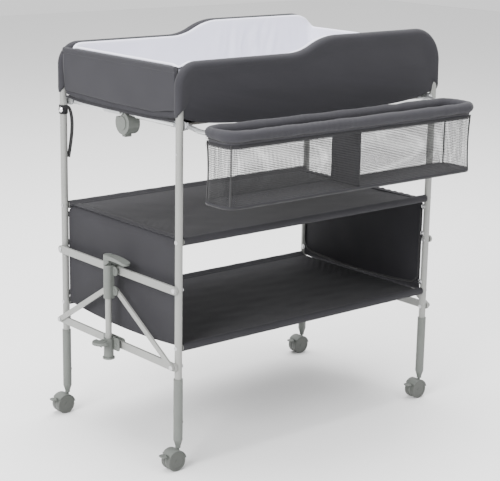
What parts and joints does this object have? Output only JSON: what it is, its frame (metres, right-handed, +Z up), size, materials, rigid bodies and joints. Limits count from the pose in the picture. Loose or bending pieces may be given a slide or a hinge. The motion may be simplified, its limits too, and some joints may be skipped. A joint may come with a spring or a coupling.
{
  "type": "changing table",
  "caption": "Folding wheeled changing table: tubular legs, padded tub with low ends, fabric shelves, side fold linkages and a hang-on mesh basket.",
  "frame": {"origin": "on the floor, at the centre of the object's bounding box", "axes": "+Z up; X along the table, -X is the end whose casters trail outwards; -Y is the basket side where the user stands"},
  "size_m": [0.878, 0.5985, 0.899],
  "materials": {
    "frame_paint": "satin light grey paint",
    "hub_plastic": "satin grey",
    "galvanised": "zinc plated",
    "rivet_steel": "satin",
    "outer_fabric": "woven",
    "liner_fabric": "soft padded",
    "shelf_fabric": "woven",
    "mesh_fabric": "fine mesh",
    "webbing": "narrow webbing",
    "stiffener_board": "plain fibreboard"
  },
  "bodies": {
    "rear_frame": {"rear_hoop": "frame_paint", "rear_shelf_rails": "frame_paint", "rear_fasteners": "rivet_steel", "rear_rail_brackets": "galvanised", "rear_wall": "liner_fabric", "storage_strap": "webbing", "end_walls": "outer_fabric", "end_panels": "shelf_fabric", "pad": "liner_fabric"},
    "front_frame": {"front_hoop": "frame_paint", "front_shelf_rails": "frame_paint", "front_fasteners": "rivet_steel", "front_rail_brackets": "galvanised", "front_wall": "outer_fabric", "basket_arms": "galvanised"},
    "upper_rear_bars": {"upper_rear_bars": "frame_paint"},
    "upper_front_bars": {"upper_front_bars": "frame_paint"},
    "lower_rear_bars": {"lower_rear_bars": "frame_paint"},
    "lower_front_bars": {"lower_front_bars": "frame_paint"},
    "rear_diagonals": {"rear_diagonals": "frame_paint"},
    "front_diagonals": {"front_diagonals": "frame_paint"},
    "posts": {"post_tubes": "frame_paint", "post_hubs": "hub_plastic", "post_brackets": "hub_plastic"},
    "sliding_hubs": {"sliding_hubs": "hub_plastic"},
    "left_handle": {"left_handle": "hub_plastic"},
    "left_pedal": {"left_pedal": "hub_plastic"},
    "right_handle": {"right_handle": "hub_plastic"},
    "right_pedal": {"right_pedal": "hub_plastic"},
    "rear_platform": {"rear_rails": "galvanised", "rear_board": "stiffener_board"},
    "front_platform": {"front_rails": "galvanised", "hinge_housings": "hub_plastic", "front_board": "stiffener_board"},
    "upper_shelf_rear": {"upper_shelf_rear": "shelf_fabric"},
    "upper_shelf_front": {"upper_shelf_front": "shelf_fabric"},
    "lower_shelf_rear": {"lower_shelf_rear": "shelf_fabric"},
    "lower_shelf_front": {"lower_shelf_front": "shelf_fabric"},
    "left_front_lower_leg": {"left_front_sleeve": "hub_plastic"},
    "left_front_button": {"left_front_button": "hub_plastic"},
    "left_front_caster": {"left_front_caster": "hub_plastic"},
    "left_front_wheels": {"left_front_wheels": "hub_plastic"},
    "left_front_brake": {"left_front_brake": "hub_plastic"},
    "left_rear_lower_leg": {"left_rear_sleeve": "hub_plastic"},
    "left_rear_button": {"left_rear_button": "hub_plastic"},
    "left_rear_caster": {"left_rear_caster": "hub_plastic"},
    "left_rear_wheels": {"left_rear_wheels": "hub_plastic"},
    "left_rear_brake": {"left_rear_brake": "hub_plastic"},
    "right_front_lower_leg": {"right_front_sleeve": "hub_plastic"},
    "right_front_button": {"right_front_button": "hub_plastic"},
    "right_front_caster": {"right_front_caster": "hub_plastic"},
    "right_front_wheels": {"right_front_wheels": "hub_plastic"},
    "right_front_brake": {"right_front_brake": "hub_plastic"},
    "right_rear_lower_leg": {"right_rear_sleeve": "hub_plastic"},
    "right_rear_button": {"right_rear_button": "hub_plastic"},
    "right_rear_caster": {"right_rear_caster": "hub_plastic"},
    "right_rear_wheels": {"right_rear_wheels": "hub_plastic"},
    "right_rear_brake": {"right_rear_brake": "hub_plastic"},
    "basket": {"basket_rim": "outer_fabric", "basket_bag": "mesh_fabric"}
  },
  "joints": [
    {"name": "fold", "type": "hinge", "parent": "rear_frame", "child": "upper_rear_bars", "pos_m": [0, 0.28475, 0.3963], "axis": [-1, 0, 0], "range_deg": [0, 80], "deforming": ["end_walls", "end_panels", "pad"]},
    {"name": "post_level", "type": "hinge", "parent": "upper_rear_bars", "child": "posts", "pos_m": [0, 0.08375, 0.3963], "axis": [1, 0, 0], "range_deg": [0, 80]},
    {"name": "upper_front_swing", "type": "hinge", "parent": "posts", "child": "upper_front_bars", "pos_m": [0, 0.05375, 0.3963], "axis": [1, 0, 0], "range_deg": [0, 80]},
    {"name": "front_frame_level", "type": "hinge", "parent": "upper_front_bars", "child": "front_frame", "pos_m": [0, -0.14725, 0.3963], "axis": [-1, 0, 0], "range_deg": [0, 80]},
    {"name": "lower_rear_swing", "type": "hinge", "parent": "rear_frame", "child": "lower_rear_bars", "pos_m": [0, 0.28475, 0.2294], "axis": [-1, 0, 0], "range_deg": [0, 80]},
    {"name": "lower_front_swing", "type": "hinge", "parent": "posts", "child": "lower_front_bars", "pos_m": [0, 0.05375, 0.2294], "axis": [1, 0, 0], "range_deg": [0, 80]},
    {"name": "rear_diagonal_swing", "type": "hinge", "parent": "rear_frame", "child": "rear_diagonals", "pos_m": [0, 0.28475, 0.2294], "axis": [-1, 0, 0], "range_deg": [0, 50.15]},
    {"name": "front_diagonal_swing", "type": "hinge", "parent": "front_frame", "child": "front_diagonals", "pos_m": [0, -0.14725, 0.2294], "axis": [1, 0, 0], "range_deg": [0, 50.15]},
    {"name": "hub_slide", "type": "slide", "parent": "posts", "child": "sliding_hubs", "axis": [0, 0, -1], "range_m": [0, 0.08757]},
    {"name": "rear_platform_drop", "type": "hinge", "parent": "rear_frame", "child": "rear_platform", "pos_m": [0, 0.26975, 0.7397], "axis": [1, 0, 0], "range_deg": [0, 80]},
    {"name": "platform_crease", "type": "hinge", "parent": "rear_platform", "child": "front_platform", "pos_m": [0, 0.06875, 0.7397], "axis": [-1, 0, 0], "range_deg": [0, 160]},
    {"name": "upper_shelf_drop", "type": "hinge", "parent": "rear_frame", "child": "upper_shelf_rear", "pos_m": [0, 0.26975, 0.4983], "axis": [1, 0, 0], "range_deg": [0, 80]},
    {"name": "upper_shelf_crease", "type": "hinge", "parent": "upper_shelf_rear", "child": "upper_shelf_front", "pos_m": [0, 0.06875, 0.4983], "axis": [-1, 0, 0], "range_deg": [0, 160]},
    {"name": "lower_shelf_drop", "type": "hinge", "parent": "rear_frame", "child": "lower_shelf_rear", "pos_m": [0, 0.26975, 0.2698], "axis": [1, 0, 0], "range_deg": [0, 80]},
    {"name": "lower_shelf_crease", "type": "hinge", "parent": "lower_shelf_rear", "child": "lower_shelf_front", "pos_m": [0, 0.06875, 0.2698], "axis": [-1, 0, 0], "range_deg": [0, 160]},
    {"name": "left_handle_lift", "type": "hinge", "parent": "posts", "child": "left_handle", "pos_m": [-0.399, 0.06875, 0.419], "axis": [-1, 0, 0], "range_deg": [0, 30], "stiffness_Nm_per_rad": 0.3, "springref_deg": -22.92},
    {"name": "left_pedal_press", "type": "hinge", "parent": "posts", "child": "left_pedal", "pos_m": [-0.414, 0.06875, 0.232], "axis": [0, -1, 0], "range_deg": [0, 18], "stiffness_Nm_per_rad": 0.01, "springref_deg": -8.59},
    {"name": "right_handle_lift", "type": "hinge", "parent": "posts", "child": "right_handle", "pos_m": [0.399, 0.06875, 0.419], "axis": [-1, 0, 0], "range_deg": [0, 30], "stiffness_Nm_per_rad": 0.3, "springref_deg": -22.92},
    {"name": "right_pedal_press", "type": "hinge", "parent": "posts", "child": "right_pedal", "pos_m": [0.414, 0.06875, 0.232], "axis": [0, 1, 0], "range_deg": [0, 18], "stiffness_Nm_per_rad": 0.01, "springref_deg": -8.59},
    {"name": "left_front_leg_slide", "type": "slide", "parent": "front_frame", "child": "left_front_lower_leg", "axis": [0, 0, -1], "range_m": [0, 0.05]},
    {"name": "left_front_button_press", "type": "slide", "parent": "left_front_lower_leg", "child": "left_front_button", "axis": [-1, 0, 0], "range_m": [0, 0.0012], "stiffness_N_per_m": 60, "springref_m": -0.0005},
    {"name": "left_front_swivel", "type": "hinge", "parent": "left_front_lower_leg", "child": "left_front_caster", "pos_m": [-0.37, -0.14725, 0.05], "axis": [0, 0, 1], "continuous": true},
    {"name": "left_front_roll", "type": "hinge", "parent": "left_front_caster", "child": "left_front_wheels", "pos_m": [-0.382, -0.14725, 0.022], "axis": [0, 1, 0], "continuous": true},
    {"name": "left_front_brake_press", "type": "hinge", "parent": "left_front_caster", "child": "left_front_brake", "pos_m": [-0.4055, -0.14725, 0.0355], "axis": [0, -1, 0], "range_deg": [0, 12]},
    {"name": "left_rear_leg_slide", "type": "slide", "parent": "rear_frame", "child": "left_rear_lower_leg", "axis": [0, 0, -1], "range_m": [0, 0.05]},
    {"name": "left_rear_button_press", "type": "slide", "parent": "left_rear_lower_leg", "child": "left_rear_button", "axis": [-1, 0, 0], "range_m": [0, 0.0012], "stiffness_N_per_m": 60, "springref_m": -0.0005},
    {"name": "left_rear_swivel", "type": "hinge", "parent": "left_rear_lower_leg", "child": "left_rear_caster", "pos_m": [-0.37, 0.28475, 0.05], "axis": [0, 0, 1], "continuous": true},
    {"name": "left_rear_roll", "type": "hinge", "parent": "left_rear_caster", "child": "left_rear_wheels", "pos_m": [-0.382, 0.28475, 0.022], "axis": [0, 1, 0], "continuous": true},
    {"name": "left_rear_brake_press", "type": "hinge", "parent": "left_rear_caster", "child": "left_rear_brake", "pos_m": [-0.4055, 0.28475, 0.0355], "axis": [0, -1, 0], "range_deg": [0, 12]},
    {"name": "right_front_leg_slide", "type": "slide", "parent": "front_frame", "child": "right_front_lower_leg", "axis": [0, 0, -1], "range_m": [0, 0.05]},
    {"name": "right_front_button_press", "type": "slide", "parent": "right_front_lower_leg", "child": "right_front_button", "axis": [1, 0, 0], "range_m": [0, 0.0012], "stiffness_N_per_m": 60, "springref_m": -0.0005},
    {"name": "right_front_swivel", "type": "hinge", "parent": "right_front_lower_leg", "child": "right_front_caster", "pos_m": [0.37, -0.14725, 0.05], "axis": [0, 0, 1], "continuous": true},
    {"name": "right_front_roll", "type": "hinge", "parent": "right_front_caster", "child": "right_front_wheels", "pos_m": [0.358, -0.14725, 0.022], "axis": [0, 1, 0], "continuous": true},
    {"name": "right_front_brake_press", "type": "hinge", "parent": "right_front_caster", "child": "right_front_brake", "pos_m": [0.3345, -0.14725, 0.0355], "axis": [0, -1, 0], "range_deg": [0, 12]},
    {"name": "right_rear_leg_slide", "type": "slide", "parent": "rear_frame", "child": "right_rear_lower_leg", "axis": [0, 0, -1], "range_m": [0, 0.05]},
    {"name": "right_rear_button_press", "type": "slide", "parent": "right_rear_lower_leg", "child": "right_rear_button", "axis": [1, 0, 0], "range_m": [0, 0.0012], "stiffness_N_per_m": 60, "springref_m": -0.0005},
    {"name": "right_rear_swivel", "type": "hinge", "parent": "right_rear_lower_leg", "child": "right_rear_caster", "pos_m": [0.37, 0.28475, 0.05], "axis": [0, 0, 1], "continuous": true},
    {"name": "right_rear_roll", "type": "hinge", "parent": "right_rear_caster", "child": "right_rear_wheels", "pos_m": [0.358, 0.28475, 0.022], "axis": [0, 1, 0], "continuous": true},
    {"name": "right_rear_brake_press", "type": "hinge", "parent": "right_rear_caster", "child": "right_rear_brake", "pos_m": [0.3345, 0.28475, 0.0355], "axis": [0, -1, 0], "range_deg": [0, 12]},
    {"name": "basket_pull", "type": "slide", "parent": "front_frame", "child": "basket", "axis": [0, -1, 0], "range_m": [0, 0.12]}
  ],
  "couplings": [
    {"joint": "post_level", "follows": "fold", "ratio": 1},
    {"joint": "upper_front_swing", "follows": "fold", "ratio": 1},
    {"joint": "front_frame_level", "follows": "fold", "ratio": 1},
    {"joint": "lower_rear_swing", "follows": "fold", "ratio": 1},
    {"joint": "lower_front_swing", "follows": "fold", "ratio": 1},
    {"joint": "rear_diagonal_swing", "follows": "fold", "ratio": 0.62688},
    {"joint": "front_diagonal_swing", "follows": "fold", "ratio": 0.62688},
    {"joint": "hub_slide", "follows": "fold", "m_per_rad": 0.062711},
    {"joint": "rear_platform_drop", "follows": "fold", "ratio": 1},
    {"joint": "platform_crease", "follows": "fold", "ratio": 2},
    {"joint": "upper_shelf_drop", "follows": "fold", "ratio": 1},
    {"joint": "upper_shelf_crease", "follows": "fold", "ratio": 2},
    {"joint": "lower_shelf_drop", "follows": "fold", "ratio": 1},
    {"joint": "lower_shelf_crease", "follows": "fold", "ratio": 2}
  ]
}
